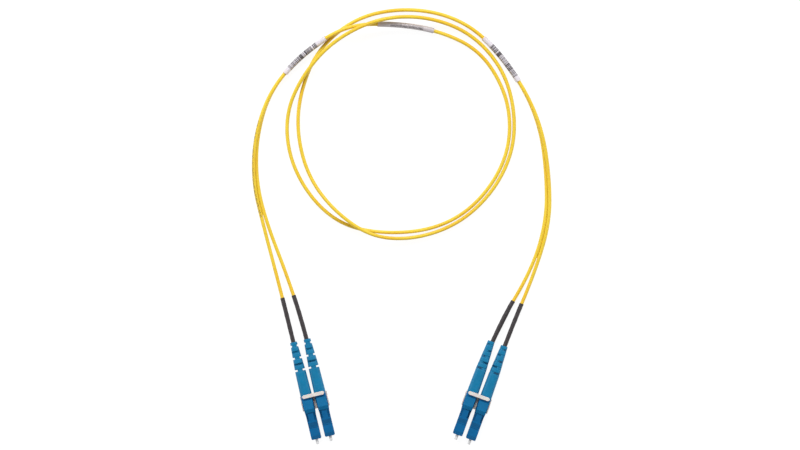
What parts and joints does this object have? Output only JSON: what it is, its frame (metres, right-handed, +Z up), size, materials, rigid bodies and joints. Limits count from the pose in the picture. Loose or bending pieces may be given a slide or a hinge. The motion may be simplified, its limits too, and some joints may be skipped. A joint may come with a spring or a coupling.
{
  "type": "fiber optic patch cord",
  "caption": "Duplex fibre optic patch cord: two clipped pairs of square latching plugs joined by a zip cord lying in loose turns.",
  "frame": {"origin": "on the surface that the cord lies on, under the middle of the box round the two pairs of plugs", "axes": "+Z up from the surface, +Y from the plugs towards the coil, +X from the left plug pair to the right one"},
  "size_m": [0.1348, 0.1963, 0.0109],
  "materials": {
    "ferrule_ceramic": "polished white ceramic",
    "plug_metal": "plated metal",
    "housing_blue": "moulded, satin gloss",
    "boot_blue": "soft elastomer, satin",
    "clip_white": "moulded, satin",
    "jacket_yellow": "extruded, satin",
    "fibre_buffer": "buffered fibre",
    "sleeve_dark": "shrunk tubing, satin",
    "label_white": "wrapped film label"
  },
  "bodies": {
    "cord_assembly": {"spring_left_outer": "plug_metal", "front_housing_left_outer": "housing_blue", "rear_body_left_outer": "housing_blue", "crimp_post_left_outer": "plug_metal", "crimp_sleeve_left_outer": "plug_metal", "boot_left_outer": "boot_blue", "spring_left_inner": "plug_metal", "front_housing_left_inner": "housing_blue", "rear_body_left_inner": "housing_blue", "crimp_post_left_inner": "plug_metal", "crimp_sleeve_left_inner": "plug_metal", "boot_left_inner": "boot_blue", "spring_right_inner": "plug_metal", "front_housing_right_inner": "housing_blue", "rear_body_right_inner": "housing_blue", "crimp_post_right_inner": "plug_metal", "crimp_sleeve_right_inner": "plug_metal", "boot_right_inner": "boot_blue", "spring_right_outer": "plug_metal", "front_housing_right_outer": "housing_blue", "rear_body_right_outer": "housing_blue", "crimp_post_right_outer": "plug_metal", "crimp_sleeve_right_outer": "plug_metal", "boot_right_outer": "boot_blue", "duplex_clip_left": "clip_white", "duplex_clip_right": "clip_white", "jacket_a": "jacket_yellow", "fibre_a": "fibre_buffer", "jacket_b": "jacket_yellow", "fibre_b": "fibre_buffer", "lead_sleeve_left_outer": "sleeve_dark", "lead_sleeve_left_inner": "sleeve_dark", "lead_sleeve_right_inner": "sleeve_dark", "lead_sleeve_right_outer": "sleeve_dark", "label_left": "label_white", "label_middle": "label_white", "label_right": "label_white"},
    "ferrule_unit_left_outer": {"ferrule_left_outer": "ferrule_ceramic", "ferrule_flange_left_outer": "plug_metal"},
    "trigger_lever_left_outer": {"trigger_left_outer": "housing_blue"},
    "latch_left_outer": {"latch_arm_left_outer": "housing_blue"},
    "ferrule_unit_left_inner": {"ferrule_left_inner": "ferrule_ceramic", "ferrule_flange_left_inner": "plug_metal"},
    "trigger_lever_left_inner": {"trigger_left_inner": "housing_blue"},
    "latch_left_inner": {"latch_arm_left_inner": "housing_blue"},
    "ferrule_unit_right_inner": {"ferrule_right_inner": "ferrule_ceramic", "ferrule_flange_right_inner": "plug_metal"},
    "trigger_lever_right_inner": {"trigger_right_inner": "housing_blue"},
    "latch_right_inner": {"latch_arm_right_inner": "housing_blue"},
    "ferrule_unit_right_outer": {"ferrule_right_outer": "ferrule_ceramic", "ferrule_flange_right_outer": "plug_metal"},
    "trigger_lever_right_outer": {"trigger_right_outer": "housing_blue"},
    "latch_right_outer": {"latch_arm_right_outer": "housing_blue"}
  },
  "joints": [
    {"name": "ferrule_slide_left_outer", "type": "slide", "parent": "cord_assembly", "child": "ferrule_unit_left_outer", "axis": [-0.2334, 0.9724, 0], "range_m": [0, 0.0008], "stiffness_N_per_m": 1000, "deforming": ["spring_left_outer"]},
    {"name": "trigger_press_left_outer", "type": "hinge", "parent": "cord_assembly", "child": "trigger_lever_left_outer", "pos_m": [-0.04111, -0.00466, 0.0058], "axis": [0.9724, 0.2334, 0], "range_deg": [0, 13], "stiffness_Nm_per_rad": 0.005},
    {"name": "latch_flex_left_outer", "type": "hinge", "parent": "cord_assembly", "child": "latch_left_outer", "pos_m": [-0.03831, -0.01635, 0.00502], "axis": [-0.9724, -0.2334, 0], "range_deg": [0, 9.5]},
    {"name": "ferrule_slide_left_inner", "type": "slide", "parent": "cord_assembly", "child": "ferrule_unit_left_inner", "axis": [-0.2334, 0.9724, 0], "range_m": [0, 0.0008], "stiffness_N_per_m": 1000, "deforming": ["spring_left_inner"]},
    {"name": "trigger_press_left_inner", "type": "hinge", "parent": "cord_assembly", "child": "trigger_lever_left_inner", "pos_m": [-0.03503, -0.0032, 0.0058], "axis": [0.9724, 0.2334, 0], "range_deg": [0, 13], "stiffness_Nm_per_rad": 0.005},
    {"name": "latch_flex_left_inner", "type": "hinge", "parent": "cord_assembly", "child": "latch_left_inner", "pos_m": [-0.03223, -0.01489, 0.00502], "axis": [-0.9724, -0.2334, 0], "range_deg": [0, 9.5]},
    {"name": "ferrule_slide_right_inner", "type": "slide", "parent": "cord_assembly", "child": "ferrule_unit_right_inner", "axis": [0.342, 0.9397, 0], "range_m": [0, 0.0008], "stiffness_N_per_m": 1000, "deforming": ["spring_right_inner"]},
    {"name": "trigger_press_right_inner", "type": "hinge", "parent": "cord_assembly", "child": "trigger_lever_right_inner", "pos_m": [0.03213, -0.00333, 0.0058], "axis": [0.9397, -0.342, 0], "range_deg": [0, 13], "stiffness_Nm_per_rad": 0.005},
    {"name": "latch_flex_right_inner", "type": "hinge", "parent": "cord_assembly", "child": "latch_right_inner", "pos_m": [0.02802, -0.01463, 0.00502], "axis": [-0.9397, 0.342, 0], "range_deg": [0, 9.5]},
    {"name": "ferrule_slide_right_outer", "type": "slide", "parent": "cord_assembly", "child": "ferrule_unit_right_outer", "axis": [0.342, 0.9397, 0], "range_m": [0, 0.0008], "stiffness_N_per_m": 1000, "deforming": ["spring_right_outer"]},
    {"name": "trigger_press_right_outer", "type": "hinge", "parent": "cord_assembly", "child": "trigger_lever_right_outer", "pos_m": [0.038, -0.00547, 0.0058], "axis": [0.9397, -0.342, 0], "range_deg": [0, 13], "stiffness_Nm_per_rad": 0.005},
    {"name": "latch_flex_right_outer", "type": "hinge", "parent": "cord_assembly", "child": "latch_right_outer", "pos_m": [0.03389, -0.01677, 0.00502], "axis": [-0.9397, 0.342, 0], "range_deg": [0, 9.5]}
  ],
  "couplings": [
    {"joint": "latch_flex_left_outer", "follows": "trigger_press_left_outer", "ratio": 0.718},
    {"joint": "latch_flex_left_inner", "follows": "trigger_press_left_inner", "ratio": 0.718},
    {"joint": "latch_flex_right_inner", "follows": "trigger_press_right_inner", "ratio": 0.718},
    {"joint": "latch_flex_right_outer", "follows": "trigger_press_right_outer", "ratio": 0.718}
  ]
}
